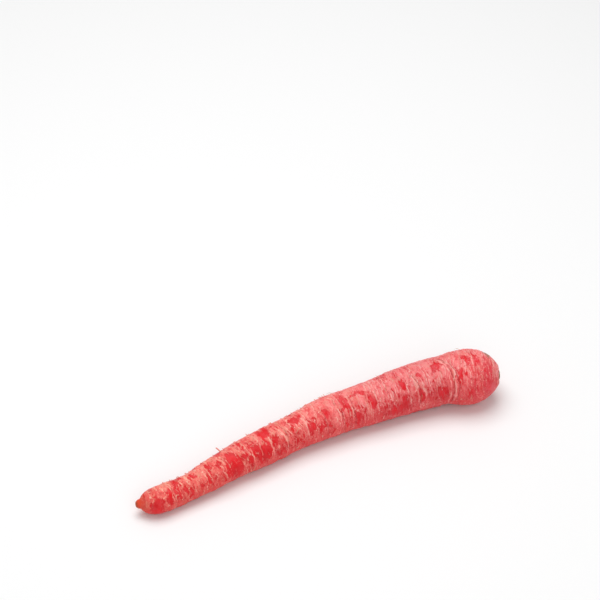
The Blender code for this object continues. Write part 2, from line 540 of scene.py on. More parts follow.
def cloud(points, seed, octaves=3):
    """Smooth noise with a mean of about 0.5 at points of shape (..., 3)."""
    total, reach = 0, 0
    for octave in range(octaves):
        scaled = points * 2**octave + OCTAVE_SHIFT * octave
        low = np.floor(scaled).astype(np.int64)
        t = scaled - low
        t = t * t * (3 - 2 * t)
        value = 0
        for corner in itertools.product((0, 1), repeat=3):
            share = [t[..., k] if c else 1 - t[..., k] for k, c in enumerate(corner)]
            value = value + share[0] * share[1] * share[2] * lattice(low + corner, seed + octave)
        total = total + value / 2**octave
        reach += 1 / 2**octave
    return total / reach


def stray_patches():
    """Bare patches scattered round the sides that the photograph doesn't show."""
    draw = np.random.default_rng(STRAY_SEED)
    low, high = PLACED_SIDE
    unseen = (high, low + 360)
    slants = (-STRAY_SLANT, STRAY_SLANT)
    spans = (STRAY_REACH, unseen, STRAY_HALF_LENGTH, STRAY_HALF_ROUND, slants)
    return drawn(draw, STRAY_PATCHES, spans)


def nearness(along, angle, radius, warp, patches):
    """1 in the middle of the nearest patch and 0 away from them all, with a soft fall between."""
    nearest = np.full(np.broadcast(along, angle).shape, FAR_FROM_PATCHES)
    for place, middle, half_length, half_round, slant in patches:
        lengthwise = along / MM - place + warp[0]
        roundwise = turned_from(angle, math.radians(middle)) * radius / MM + warp[1]
        c, s = math.cos(math.radians(slant)), math.sin(math.radians(slant))
        u = (c * lengthwise + s * roundwise) / half_length
        v = (c * roundwise - s * lengthwise) / half_round
        nearest = np.minimum(nearest, np.sqrt(u * u + v * v))
    edge = np.clip((nearest - PATCH_CORE) / (PATCH_REACH - PATCH_CORE), 0, 1)
    return 1 - edge * edge * (3 - 2 * edge)


def patch_warp(straight):
    """How far the outline of a patch is bent at each point, along the root and round it, in mm."""
    return [
        reach * (cloud(straight / np.array(grain), seed, WARP_OCTAVES) - 0.5)
        for reach, (grain, seed) in zip(WARP_REACH, WARP_NOISES)
    ]


def bareness(along, angle, radius, warp):
    """How bare each point is, from BARE in a bare patch to COVERED where skin is left."""
    bare = nearness(along, angle, radius, warp, BARE_PATCHES + tuple(stray_patches()))
    film = nearness(along, angle, radius, warp, FILM_PATCHES)
    return COVERED + np.maximum((BARE - COVERED) * bare, (FILM - COVERED) * film)


class RootForm:
    """The fine root's points and the marks on it, on a grid of stations and sides."""

    def __init__(self, length, stations, sides):
        along, radius = profile(stations)
        self.scale = length / ROOT_LENGTH
        self.shift = np.zeros(3)
        self.along, self.radius = along[1:-1], radius[1:-1]
        self.angle = np.arange(sides) * 2 * math.pi / sides
        self.lengthwise, self.round_it = self.along[:, None], self.angle[None, :]
        self.straight = self.straight_places()
        self.mark_patches()
        self.mark_rings()
        self.height = self.coarse_relief() + self.fine_relief()

    def straight_places(self):
        """Where each point would be if the root were straight, in mm."""
        size = self.radius[:, None] / MM
        turn = self.round_it
        places = self.lengthwise / MM, size * np.cos(turn), size * np.sin(turn)
        return np.stack(np.broadcast_arrays(*places), axis=-1)

    def noise(self, grain, seed):
        """Noise over the straightened root."""
        return cloud(self.straight / np.array(grain), seed)

    def mark_patches(self):
        """How bare each point is, and how near to an old leaf base."""
        at = self.lengthwise, self.round_it, self.radius[:, None], patch_warp(self.straight)
        self.bare = bareness(*at)
        self.leaf_base = nearness(*at, LEAF_BASES)

    def mark_rings(self):
        """How much each point stands out on a ridge, and how dark the painted shade in a crease is.
        """
        gain, loss = RIDGE_WEAR
        worn = np.clip(gain * self.noise(*WEAR_NOISE) - loss, 0, 1)
        waver = RIDGE_WAVER * (self.noise(*WAVER_NOISE) - 0.5)
        self.ridge = worn * ring_marks(self.lengthwise + waver * MM, self.round_it, RIDGES)
        lines = [
            (place, min(depth / FULL_CREASE, 1), CREASE_LINE, *rest)
            for place, depth, _, *rest in CREASES
        ]
        wander = CREASE_WANDER * (self.noise(*WANDER_NOISE) - 0.5)
        self.crease = ring_marks(self.lengthwise + wander * MM, self.round_it, lines)

    def coarse_relief(self):
        """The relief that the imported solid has, in mm."""
        marks = [(place, -depth, *rest) for place, depth, *rest in CREASES] + scattered_marks()
        at = self.lengthwise, self.round_it
        return swellings(*at) + ring_marks(*at, marks)

    def fine_relief(self):
        """Ridges, the skin's own thickness and its unevenness, in mm."""
        rings = 1 - np.abs(2 * self.noise(*RING_NOISE) - 1)
        rings = np.clip(RING_SHARPNESS * rings - (RING_SHARPNESS - 1), 0, 1)
        gain, loss = RING_BREAKS
        broken = np.clip(gain * self.noise(*BREAK_NOISE) - loss, 0, 1)
        skin = 1 / (1 + np.exp(self.bare * SKIN_EDGE))
        uneven = UNEVEN_HEIGHT * (self.noise(*UNEVEN_NOISE) - 0.5)
        dents = DENT_HEIGHT * (self.noise(*DENT_NOISE) - 0.5)
        raised = self.ridge + RING_HEIGHT * broken * rings
        return SKIN_THICKNESS * (skin - 1) + uneven + dents + skin * raised

    def lean(self):
        """How the outline leans at each station, as an angle."""
        return np.arctan2(np.gradient(self.radius), np.gradient(self.along))

    def centre_on(self, points, box):
        """Sets the shift that brings the middle of the points over the middle of the box."""
        low, high = box
        middle = (points.min(axis=0) + points.max(axis=0)) / 2
        self.shift = (low + high) / 2 - middle
        self.shift[2] = 0

    def axis_at(self, along):
        """The centre line's point at this distance, with its side and up directions."""
        centre, side, up = centre_line(np.array((along,)))
        return centre[0] * self.scale + self.shift, side[0], up[0]

    def skin_points(self):
        """All the grid's points, with the underside pressed flat on the surface."""
        centre, side, up = centre_line(self.along)
        forward = np.cross(up, side)
        turn = self.angle[None, :, None]
        outward = np.cos(turn) * up[:, None, :] + np.sin(turn) * side[:, None, :]
        lean = self.lean()[:, None, None]
        normal = np.cos(lean) * outward - np.sin(lean) * forward[:, None, :]
        fade = np.clip(self.radius / RELIEF_FROM_RADIUS, 0, 1)[:, None, None]
        height = fade * self.height[:, :, None] * MM
        points = centre[:, None, :] + self.radius[:, None, None] * outward + height * normal
        points[..., 2] = np.maximum(points[..., 2], 0)
        return points * self.scale

    def ends(self):
        """The middle points of the tip and of the stump in the crown's pit."""
        centre, _, _ = centre_line(np.array((0, ROOT_LENGTH)))
        return centre * self.scale


def grid_faces(rows, columns):
    """The quads of a closed grid, and the fans of triangles at its two ends."""
    row = np.arange(rows - 1)[:, None] * columns
    column = np.arange(columns)[None, :]
    following = (column + 1) % columns
    quads = np.stack(
        [row + column, row + following, row + columns + following, row + columns + column], axis=-1
    )
    tip, crown = rows * columns, rows * columns + 1
    last = (rows - 1) * columns
    one_way = [(tip, (k + 1) % columns, k) for k in range(columns)]
    other_way = [(crown, last + k, last + (k + 1) % columns) for k in range(columns)]
    return quads.reshape(-1, 4).tolist() + one_way + other_way


def new_piece(name, points, faces, material):
    """A smooth-shaded mesh object that rides on the root's body."""
    mesh = bpy.data.meshes.new(name)
    mesh.from_pydata([tuple(p) for p in points], [], faces)
    mesh.validate()
    mesh.shade_smooth()
    mesh.materials.append(material)
    piece = bpy.data.objects.new(name, mesh)
    bpy.context.scene.collection.objects.link(piece)
    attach(piece, "root")
    return piece


def add_number(mesh, name, values):
    """Gives every point of the mesh a number that a material can read."""
    mesh.attributes.new(name, "FLOAT", "POINT").data.foreach_set("value", np.ravel(values))


def add_vector(mesh, name, values):
    """Gives every point of the mesh three numbers that a material can read."""
    mesh.attributes.new(name, "FLOAT_VECTOR", "POINT").data.foreach_set("vector", np.ravel(values))


class Wired:
    """A socket of a material, so that shader maths reads as a plain expression."""

    def __init__(self, finish, socket):
        self.finish = finish
        self.socket = socket

    def __add__(self, other):
        return self.finish.maths("ADD", self, other)

    __radd__ = __add__

    def __sub__(self, other):
        return self.finish.maths("SUBTRACT", self, other)

    def __rsub__(self, other):
        return self.finish.maths("SUBTRACT", other, self)

    def __mul__(self, other):
        return self.finish.maths("MULTIPLY", self, other)

    __rmul__ = __mul__

    def __abs__(self):
        return self.finish.maths("ABSOLUTE", self)

    def step(self, low, high):
        """0 under low and 1 over high, with a soft rise between."""
        settings = {"interpolation_type": "SMOOTHSTEP"}
        return self.finish.node(
            "ShaderNodeMapRange", settings, {"Value": self, "From Min": low, "From Max": high}
        )


class Finish:
    """A material with one Principled shader, built up from plain expressions."""

    def __init__(self, name):
        self.material = bpy.data.materials.new(name)
        self.material.use_nodes = True
        self.tree = self.material.node_tree
        self.shader = self.tree.nodes["Principled BSDF"]

    def node(self, kind, settings=None, inputs=None, output=0):
        """A new node's output. Settings are set first, then the inputs, as values or links."""
        made = self.tree.nodes.new(kind)
        for name, value in (settings or {}).items():
            if name == "stops":
                self.set_stops(made.color_ramp, value)
            else:
                setattr(made, name, value)
        for key, value in (inputs or {}).items():
            self.feed(made.inputs[key], value)
        return Wired(self, made.outputs[output])

    def maths(self, operation, *values):
        """Numbers worked on by a Math node."""
        return self.node("ShaderNodeMath", {"operation": operation}, dict(enumerate(values)))

    def vector_maths(self, operation, *values):
        """Vectors worked on by a Vector Math node."""
        return self.node("ShaderNodeVectorMath", {"operation": operation}, dict(enumerate(values)))

    def set_stops(self, ramp, stops):
        """Gives a colour ramp its (place, colour) stops."""
        while len(ramp.elements) < len(stops):
            ramp.elements.new(1.0)
        for element, (place, colour) in zip(ramp.elements, stops):
            element.position = place
            element.color = colour

    def feed(self, socket, value):
        """Sets a socket to a value, or links it."""
        if isinstance(value, Wired):
            self.tree.links.new(value.socket, socket)
        else:
            socket.default_value = value

    def set(self, **inputs):
        """Sets or links the shader's own sockets, with _ for each space in their names."""
        for name, value in inputs.items():
            self.feed(self.shader.inputs[name.replace("_", " ")], value)

    def number(self, name):
        """The number that the mesh holds under this name."""
        return self.node("ShaderNodeAttribute", {"attribute_name": name}, output="Fac")

    def vector(self, name):
        """The vector that the mesh holds under this name."""
        return self.node("ShaderNodeAttribute", {"attribute_name": name}, output="Vector")

    def parts(self, vector):
        """The three numbers of a vector."""
        kind = "ShaderNodeSeparateXYZ"
        return [self.node(kind, None, {"Vector": vector}, output) for output in range(3)]

    def noise(self, place, scale, detail=3.0, roughness=0.55):
        """Noise of about 0 to 1, whose features are 1 / scale wide along each axis."""
        inputs = {
            "Vector": self.vector_maths("MULTIPLY", place, scale),
            "Scale": 1.0,
            "Detail": detail,
            "Roughness": roughness,
        }
        return self.node("ShaderNodeTexNoise", None, inputs)

    def dots(self, place, scale):
        """The distance to the middle of the nearest of many scattered dots."""
        inputs = {"Vector": self.vector_maths("MULTIPLY", place, scale), "Scale": 1.0}
        return self.node("ShaderNodeTexVoronoi", None, inputs)

    def mix(self, factor, first, second):
        """The first colour where the factor is 0, and the second where it is 1."""
        return self.node("ShaderNodeMix", {"data_type": "RGBA"}, {0: factor, 6: first, 7: second}, 2)

    def tinted(self, colour, tint):
        """The colour multiplied by a tint."""
        settings = {"data_type": "RGBA", "blend_type": "MULTIPLY"}
        return self.node("ShaderNodeMix", settings, {0: 1.0, 6: colour, 7: tint}, 2)

    def bump(self, height, distance):
        """A normal that follows the height, where 1 stands out by this distance."""
        return self.node("ShaderNodeBump", None, {"Height": height, "Distance": distance})


def growth_lines(finish, place, length):
    """Thin growth rings, closer together near the crown: pale lines, and painted shadow lines beside
    them.
    """
    sway = finish.noise(place, (0.07, 0.035, 0.035), 2.0, 0.5)
    waver = finish.noise(place, (0.45, 0.30, 0.30), 3.0, 0.6)
    turns = length * 0.22 + length * length * 0.0005 + (sway - 0.5) * 5.5 + (waver - 0.5) * 1.5
    along_ring = finish.maths("FRACT", turns)
    broken = finish.noise(place, (0.38, 0.12, 0.12), 4.0, 0.62).step(0.43, 0.52)
    return [broken * (1 - abs(along_ring - middle).step(0.05, 0.14)) for middle in (0.5, 0.68)]


def flesh_colour(finish, place, length, upward, colours):
    """Flesh that is deeper in places, and veiled by a trace of skin in others; more veil on top is
    painted light from above.
    """
    depth = finish.noise(place, (0.22, 0.12, 0.12), 3.0)
    flesh = finish.mix(depth.step(0.35, 0.65), colours.flesh, colours.flesh_deep)
    veil = finish.noise(place, (0.5, 0.3, 0.3), 4.0, 0.65).step(0.40, 0.60)
    ends = (1 - length.step(35, 58)) * 0.30 + length.step(222, 234) * 0.50
    # Painted light: more veil where the surface faces up
    veiling = 0.05 + upward.step(0.1, 1.0) * 0.35 + length.step(105, 130) * 0.30 + ends
    veiling = veil * veiling + length.step(226, 238) * 0.35
    return finish.mix(veiling, flesh, colours.veiled)


def spotted(finish, place, colour, flesh, colours):
    """The colour with small red specks in the skin, and pale flecks on it, partly dry skin and partly
    painted glints.
    """
    specks = 1 - finish.dots(place, (0.55, 0.45, 0.45)).step(0.14, 0.30)
    sparse = finish.noise(place, (0.2, 0.2, 0.2), 2.0).step(0.47, 0.56)
    colour = finish.mix(specks * sparse * 0.8, colour, colours.flesh_deep)
    # Pale flecks: partly dry skin and partly painted glints
    elsewhere = finish.vector_maths("ADD", place, (0.9, 0.6, 0.6))
    flecks_and_glints = 1 - finish.dots(elsewhere, (0.55, 0.45, 0.45)).step(0.10, 0.20)
    return finish.mix(flecks_and_glints * sparse * (0.7 - flesh * 0.5), colour, colours.fleck_and_glint)


def root_tint(finish, length, colours):
    """More orange at the tip, with painted shade that dulls the colours below the crown, which is
    pinker.
    """
    tint = finish.mix(length.step(5, 200), colours.tip_tint, colours.crown_tint)
    # Painted shade below the crown
    shade_below_crown = length.step(135, 195) * (1 - length.step(212, 230))
    return finish.mix(shade_below_crown, tint, colours.painted_shade_below_crown)


def root_finish(colours):
    """Scraped carrot: glossy flesh in the bare patches, paler ridged skin round them.

    Distances along the root are in mm, and the scale of each noise is in features to the mm.
    """
    finish = Finish("carrot_skin_and_flesh")
    place = finish.vector("straight_place")
    bare = finish.number("bare")
    ridge = finish.number("ridge")
    crease = finish.number("crease")
    tip = finish.number("tip")
    upward = finish.number("upward")
    stump = finish.number("stump")
    leaf_base = finish.number("leaf_base")
    length, _, _ = finish.parts(place)
    pale_lines, painted_ring_shadows = growth_lines(finish, place, length)
    standing = ridge.step(0.05, 0.15)

    # Where the flesh shows, with torn edges and in streaks round the root near the crown
    torn = finish.noise(place, (0.40, 0.25, 0.25), 5.0, 0.70)
    fine = finish.noise(place, (1.7, 1.2, 1.2), 3.0, 0.6)
    streaks = finish.noise(place, (0.60, 0.13, 0.13), 2.0, 0.5)
    layer = bare + (torn - 0.5) * 1.1 + (streaks - 0.5) * (0.15 + length.step(60, 190) * 0.55)
    edge = layer + (fine - 0.5) * 0.3 - pale_lines * 0.12 - standing * 0.22
    flesh = edge.step(-0.04, 0.04)
    rim = edge.step(-0.10, -0.03) * (1 - edge.step(-0.02, 0.01)) * fine.step(0.45, 0.55)

    # How thick the skin is that the scraping left, from a red film to pale skin, in torn layers,
    # and paler on top and redder underneath as painted light and shade
    blush = finish.noise(place, (0.15, 0.10, 0.10), 5.0, 0.62)
    mottled = finish.noise(place, (0.40, 0.27, 0.27), 5.0, 0.66)
    net = finish.noise(place, (0.80, 0.40, 0.40), 4.0, 0.7).step(0.44, 0.56)
    body = (
        -0.46
        - layer * 1.2
        + mottled.step(0.42, 0.45) * 0.22
        + mottled.step(0.53, 0.56) * 0.20
        + blush.step(0.45, 0.48) * 0.20
        + (blush - 0.5) * 0.5
        + (fine - 0.5) * 0.55
        # Painted light and shade: paler skin on top, redder skin underneath
        + upward.step(-0.2, 1.0) * 0.50
        - (1 - length.step(4, 22)) * 0.14
        + (net - 0.5) * (0.10 + length.step(222, 232) * 0.40)
    )
    # Painted light: the top may reach paler skin than the sides
    most = 0.42 + upward.step(-0.2, 1.0) * 0.36
    thickness = finish.maths("MINIMUM", body, most)
    # Pale lines and standing ridges are the skin's own colour; the dark lines beside them are painted
    # shadow
    thickness = thickness + pale_lines * 0.50 - painted_ring_shadows * 0.30 + standing * 0.46
    stops = (
        (0.0, colours.skin_film),
        (0.25, colours.skin_thin),
        (0.5, colours.skin_pink),
        (0.75, colours.skin_pale),
        (1.0, colours.ridge),
    )
    skin = finish.node("ShaderNodeValToRGB", {"stops": stops}, {"Fac": thickness})
    tan = finish.noise(place, (0.30, 0.12, 0.12), 3.0, 0.6).step(0.50, 0.66)
    # Tan is the dry skin's own colour; the extra tan on top is painted light from above
    skin = finish.mix(tan * (0.15 + upward.step(0.0, 1.0) * 0.35), skin, colours.skin_tan)
    where_dusky = finish.noise(place, (0.09, 0.07, 0.07), 3.0, 0.6).step(0.42, 0.60)
    dusky = finish.noise(place, (1.2, 0.8, 0.8), 4.0, 0.7).step(0.54, 0.64) * where_dusky
    skin = finish.mix(dusky * 0.55, skin, colours.skin_dusky)

    # Skin and flesh together, with a pale torn edge between them, and the broken tip
    colour = finish.mix(flesh, skin, flesh_colour(finish, place, length, upward, colours))
    colour = finish.mix(rim * 0.5, colour, colours.skin_pale)
    colour = finish.mix(tip * mottled.step(0.25, 0.50), colour, colours.nub)
    scar = (1 - length.step(0.5, 2.1)) * (0.30 + torn.step(0.40, 0.60) * 0.50)
    colour = finish.mix(scar, colour, colours.stump_dark)
    colour = spotted(finish, place, colour, flesh, colours)

    # Painted shade: the bottom of a crease is darkened
    dark = crease.step(0.20, 0.80) * torn.step(0.36, 0.50) * (0.30 + fine.step(0.35, 0.55) * 0.50)
    dark = dark * (0.30 + length.step(50, 140) * 0.70)
    colour = finish.mix(dark, colour, colours.crease)
    colour = finish.tinted(colour, root_tint(finish, length, colours))

    # Old leaf bases on the crown's shoulder, and the woody stump in its pit
    olive = leaf_base.step(0.10, 0.80) * (0.40 + fine.step(0.38, 0.60) * 0.45)
    colour = finish.mix(olive, colour, colours.leaf_base)
    cut = (stump + (torn - 0.5) * 1.4).step(0.30, 0.60)
    woody = finish.mix(fine.step(0.38, 0.60), colours.stump_dark, colours.stump)
    colour = finish.mix(cut, colour, woody)

    # Moist flesh, and drier skin that stands up round it
    wet = finish.noise(place, (0.5, 0.3, 0.3), 3.0)
    roughness = 0.48 + (wet - 0.5) * 0.25 - flesh * 0.10
    height = (
        (1 - flesh) * 0.10
        + (1 - flesh) * (pale_lines * 0.09 - painted_ring_shadows * 0.06 + mottled.step(0.40, 0.56) * 0.05)
        + (fine - 0.5) * 0.08
    )
    finish.set(
        Base_Color=colour,
        Roughness=roughness,
        Normal=finish.bump(height, MM),
        Subsurface_Weight=0.2,
        Subsurface_Radius=(2.0 * MM, 0.5 * MM, 0.4 * MM),
        Subsurface_Scale=1.0,
        Specular_IOR_Level=0.22,
    )
    return finish.material


def plain_finish(name, colour, darker, grain, roughness):
    """A small piece's finish, with streaks between two colours and grain to the metre."""
    finish = Finish(name)
    place = finish.node("ShaderNodeTexCoord", output="Object")
    streaks = finish.noise(place, (grain, grain, grain), 3.0)
    finish.set(
        Base_Color=finish.mix(streaks.step(0.35, 0.65), colour, darker),
        Roughness=roughness + (streaks - 0.5) * 0.2,
        Normal=finish.bump(streaks, 0.1 * MM),
        Subsurface_Weight=0.3,
        Subsurface_Radius=(2.0 * MM, 1.0 * MM, 0.6 * MM),
        Subsurface_Scale=1.0,
    )
    return finish.material


def colour_property(name, description, value):
    """A colour that a user may change, given as red, green and blue."""
    return FloatVectorProperty(
        name=name, description=description, default=(*value, 1), size=4, min=0, max=1, subtype="COLOR"
    )


class CarrotSizes(bpy.types.PropertyGroup):
    """Sizes of the root and how finely it is made."""

    length: FloatProperty(
        name="Length", description="Length along the root", default=ROOT_LENGTH, unit="LENGTH"
    )
    stations: IntProperty(
        name="Stations", description="Rings of points along the root", default=850, min=50
    )
    sides: IntProperty(name="Sides", description="Points in each ring", default=116, min=16)
    hairs: IntProperty(name="Hairs", description="Fine rootlets left on the skin", default=18, min=0)
    shreds: IntProperty(name="Shreds", description="Loose curls of skin", default=14, min=0)
    fringe: IntProperty(name="Fringe", description="Tiny curls along the far side", default=44, min=0)
    stalks: IntProperty(name="Stalks", description="Cut leaf stalks in the crown", default=9, min=3)


class CarrotColours(bpy.types.PropertyGroup):
    """Colours of the skin, the flesh and the small pieces, in linear light."""

    skin_film: colour_property("Film", "Skin scraped to a red film", (0.75, 0.050, 0.053))
    skin_thin: colour_property("Thin skin", "Skin that shows the flesh", (0.80, 0.095, 0.094))
    skin_pink: colour_property("Pink skin", "Skin of middling thickness", (0.87, 0.155, 0.150))
    skin_pale: colour_property("Pale skin", "Thick skin", (0.92, 0.250, 0.235))
    skin_tan: colour_property("Tan skin", "Drier patches of skin", (0.82, 0.32, 0.24))
    skin_dusky: colour_property("Dusky spots", "Fine darker mottling", (0.50, 0.075, 0.075))
    ridge: colour_property("Ridges", "Raised growth rings", (0.98, 0.45, 0.38))
    # Pale flecks of dry skin, which also stand in for painted glints
    fleck_and_glint: colour_property("Flecks", "Loose dry flecks", (0.95, 0.66, 0.56))
    flesh: colour_property("Flesh", "Bare flesh", (0.78, 0.011, 0.018))
    flesh_deep: colour_property("Deep flesh", "Darker bare flesh", (0.66, 0.007, 0.013))
    veiled: colour_property("Veiled flesh", "Flesh under a trace of skin", (0.80, 0.070, 0.085))
    nub: colour_property("Broken tip", "Flesh at the broken tip", (0.74, 0.075, 0.032))
    tip_tint: colour_property("Tint of the tip", "Multiplies all colours at the tip", (1, 0.98, 0.84))
    # Painted shade: darkens all colours below the crown
    painted_shade_below_crown: colour_property(
        "Tint below the crown", "Multiplies all colours below the crown", (0.93, 0.89, 0.95)
    )
    crown_tint: colour_property(
        "Tint of the crown", "Multiplies all colours at the crown", (1, 0.95, 1)
    )
    # Colour of the painted shade at the bottoms of the creases
    crease: colour_property("Creases", "Shaded bottoms of the creases", (0.46, 0.035, 0.035))
    leaf_base: colour_property("Leaf bases", "Traces of old leaf bases", (0.20, 0.135, 0.05))
    stump: colour_property("Stump", "Where the leaves were cut", (0.44, 0.25, 0.12))
    stump_dark: colour_property("Dark stump", "Drier parts of the stump", (0.22, 0.09, 0.04))
    stalk: colour_property("Stalks", "Cut leaf stalks", (0.46, 0.37, 0.17))
    stalk_cut: colour_property("Cut stalks", "Drier parts of the stalks", (0.20, 0.11, 0.05))
    hair: colour_property("Hairs", "Rootlets", (0.72, 0.40, 0.28))
    hair_dark: colour_property("Dark hairs", "Drier rootlets", (0.42, 0.18, 0.10))
    shred: colour_property("Shreds", "Curls of skin", (0.90, 0.46, 0.38))
    shred_dark: colour_property("Dark shreds", "Redder curls of skin", (0.78, 0.20, 0.16))
    floor: colour_property("Floor", "Pale floor", (0.90, 0.90, 0.90))


class CarrotStage(bpy.types.PropertyGroup):
    """The photograph's view and the light."""

    target: FloatVectorProperty(
        name="Target",
        description="Where the camera aims",
        default=[v * MM for v in VIEW_TARGET],
        subtype="TRANSLATION",
    )
    azimuth: FloatProperty(
        name="Azimuth",
        description="Turn of the camera round the root",
        default=math.radians(VIEW_AZIMUTH),
        subtype="ANGLE",
    )
    elevation: FloatProperty(
        name="Elevation",
        description="Height of the camera over the horizon",
        default=math.radians(VIEW_ELEVATION),
        subtype="ANGLE",
    )
    distance: FloatProperty(
        name="Distance",
        description="From the camera to the target",
        default=VIEW_DISTANCE * MM,
        unit="LENGTH",
    )
    angle_of_view: FloatProperty(
        name="Angle of view",
        description="Angle that the picture takes in",
        default=math.radians(VIEW_ANGLE),
        subtype="ANGLE",
    )
    key_power: FloatProperty(
        name="Key light", description="Power of the light overhead", default=10.7, unit="POWER"
    )
    fill_power: FloatProperty(
        name="Fill light", description="Power of the light in front", default=3.8, unit="POWER"
    )
    sky: FloatProperty(name="Sky", description="Strength of the even light all round", default=0.44)


# The form of the root that was grown last, for the pieces that stand on it
GROWN = {}


def grown_root():
    """The root's form, or an error where it isn't grown yet."""
    if not GROWN:
        raise RuntimeError("Grow the root first: the other pieces stand on it")
    return GROWN["root"]


def mark_root(mesh, form):
    """Gives the mesh what the root's material reads: its grid's points, then the two ends."""
    rows, columns = form.bare.shape
    end_places = np.array(((0, 0, 0), (ROOT_LENGTH / MM, 0, 0)))
    add_vector(mesh, "straight_place", np.vstack([form.straight.reshape(-1, 3), end_places]))
    for name, values, at_ends in (
        ("bare", form.bare, (1, 0)),
        ("ridge", form.ridge, (0, 0)),
        ("crease", form.crease, (0, 0)),
        ("leaf_base", form.leaf_base, (0, 0)),
    ):
        add_number(mesh, name, np.r_[values.ravel(), at_ends])
    along = np.r_[np.repeat(form.along, columns), 0, ROOT_LENGTH] / MM
    size = np.r_[np.repeat(form.radius, columns), 0, 0] / MM
    add_number(mesh, "tip", np.clip((NUB_END - along) / NUB_FADE, 0, 1))
    # How much each point faces up; the material uses it to paint the top paler as light from above,
    # and the underside redder as shade
    add_number(mesh, "upward", np.r_[np.tile(np.cos(form.angle), rows), 0, 0])
    in_pit = np.clip((PIT_EDGE - size) / PIT_FADE, 0, 1)
    add_number(mesh, "stump", in_pit * (along > CROWN_HALF))


class CARROT_OT_root(bpy.types.Operator):
    """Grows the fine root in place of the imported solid"""

    bl_idname = "carrot.root"
    bl_label = "Grow root"

    def execute(self, context):
        sizes = context.scene.carrot_sizes
        form = RootForm(sizes.length, sizes.stations, sizes.sides)
        grid = form.skin_points()
        points = np.vstack([grid.reshape(-1, 3), *form.ends()])
        form.centre_on(points, np.array(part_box(NODE)))
        material = root_finish(context.scene.carrot_colours)
        faces = grid_faces(*grid.shape[:2])
        piece = new_piece("fine_root", points + form.shift, faces, material)
        mark_root(piece.data, form)
        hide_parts(NODE)
        GROWN["root"] = form
        return {"FINISHED"}


def swept(path, radii, sides):
    """Points and faces of a tapered tube along a path, closed at both ends."""
    path = np.asarray(path)
    points, faces = [], []
    direction = np.gradient(path, axis=0)
    direction /= np.linalg.norm(direction, axis=1)[:, None]
    first = np.cross(direction, ASKEW)
    first /= np.linalg.norm(first, axis=1)[:, None]
    second = np.cross(direction, first)
    for index, (spot, radius) in enumerate(zip(path, radii)):
        for side in range(sides):
            turn = 2 * math.pi * side / sides
            outward = math.cos(turn) * first[index] + math.sin(turn) * second[index]
            points.append(spot + radius * outward)
    for index in range(len(path) - 1):
        for side in range(sides):
            here, there = index * sides, (index + 1) * sides
            following = (side + 1) % sides
            faces.append((here + side, here + following, there + following, there + side))
    faces.append(tuple(range(sides))[::-1])
    faces.append(tuple(range((len(path) - 1) * sides, len(path) * sides)))
    return points, faces


def joined(parts):
    """One list of points and one of faces from many."""
    points, faces = [], []
    for some_points, some_faces in parts:
        start = len(points)
        points.extend(some_points)
        faces.extend(tuple(start + index for index in face) for face in some_faces)
    return points, faces


def local_frame(form, along, angle):
    """(surface point, outward, forward, round) at a place on the root's side, in metres."""
    spot, side, up = form.axis_at(along)
    outward = math.cos(angle) * up + math.sin(angle) * side
    forward = np.cross(up, side)
    outside = form.along[: int(len(form.along) * OUTSIDE_SHARE)]
    row = int(np.argmin(np.abs(outside - along)))
    column = int(round(angle / (2 * math.pi) * len(form.angle))) % len(form.angle)
    reach = (form.radius[row] + form.height[row, column] * MM) * form.scale
    return spot + reach * outward, outward, forward, np.cross(forward, outward)


def lifted(outward, share, rise, turn, foot):
    """How a thin scrap arches over the skin, from a foot just inside it."""
    return outward * (rise * np.sin(share * turn) - foot)


def over_floor(path):
    """The path, raised where it would dip into the floor."""
    path[:, 2] = np.maximum(path[:, 2], FLOOR_CLEARANCE)
    return path


class CARROT_OT_hairs(bpy.types.Operator):
    """Adds the fine rootlets that are still on the skin"""

    bl_idname = "carrot.hairs"
    bl_label = "Add rootlets"

    def execute(self, context):
        form = grown_root()
        draw = np.random.default_rng(HAIR_SEED)
        share = np.linspace(0, 1, SCRAP_POINTS)[:, None]
        hairs = []
        for _ in range(context.scene.carrot_sizes.hairs):
            along = draw.uniform(*HAIR_ALONG) * MM
            angle = math.radians(draw.uniform(*SCRAP_ANGLE))
            spot, outward, forward, across = local_frame(form, along, angle)
            length = draw.uniform(*HAIR_LENGTH) * MM
            heading = draw.uniform(-HAIR_HEADING, HAIR_HEADING)
            trail = math.cos(heading) * across * draw.choice((-1, 1)) + math.sin(heading) * forward
            curl = draw.uniform(-HAIR_CURL, HAIR_CURL)
            lift = lifted(outward, share, *HAIR_ARCH) * length * 0.5
            run = trail * share * length + forward * curl * share**2 * length * 0.5
            radius = draw.uniform(*HAIR_RADIUS) * MM
            hair = over_floor(spot + lift + run)
            hairs.append(swept(hair, radius * (HAIR_FOOT - share[:, 0]), HAIR_SIDES))
        colours = context.scene.carrot_colours
        material = plain_finish("rootlet", colours.hair, colours.hair_dark, 900, 0.6)
        new_piece("rootlets", *joined(hairs), material)
        return {"FINISHED"}


class CARROT_OT_shreds(bpy.types.Operator):
    """Adds the small curls of skin that the scraping left"""

    bl_idname = "carrot.shreds"
    bl_label = "Add shreds"

    def execute(self, context):
        sizes = context.scene.carrot_sizes
        form = grown_root()
        draw = np.random.default_rng(SHRED_SEED)
        places = [PLACED_SHRED]
        places += drawn(draw, sizes.shreds, SHRED_SPANS)
        places += drawn(draw, sizes.fringe, FRINGE_SPANS)
        share = np.linspace(0, 1, SCRAP_POINTS)[:, None]
        shape = np.sin(np.clip(share[:, 0] * 3.0 + 0.15, 0, math.pi))
        shreds = []
        for along, angle, length, rise in places:
            spot, outward, forward, across = local_frame(form, along * MM, math.radians(angle))
            lift = lifted(outward, share, rise, *SHRED_ARCH) * length * 0.6
            run = across * (0.5 - share) * length + forward * (share - 0.5) ** 2 * length
            path = over_floor(spot + (lift + run) * MM)
            widest = (SHRED_RADIUS + SHRED_GROWTH * length) * MM
            shreds.append(swept(path, widest * shape + SHRED_END, SHRED_SIDES))
        colours = context.scene.carrot_colours
        material = plain_finish("skin_shred", colours.shred, colours.shred_dark, 700, 0.55)
        new_piece("skin_shreds", *joined(shreds), material)
        return {"FINISHED"}


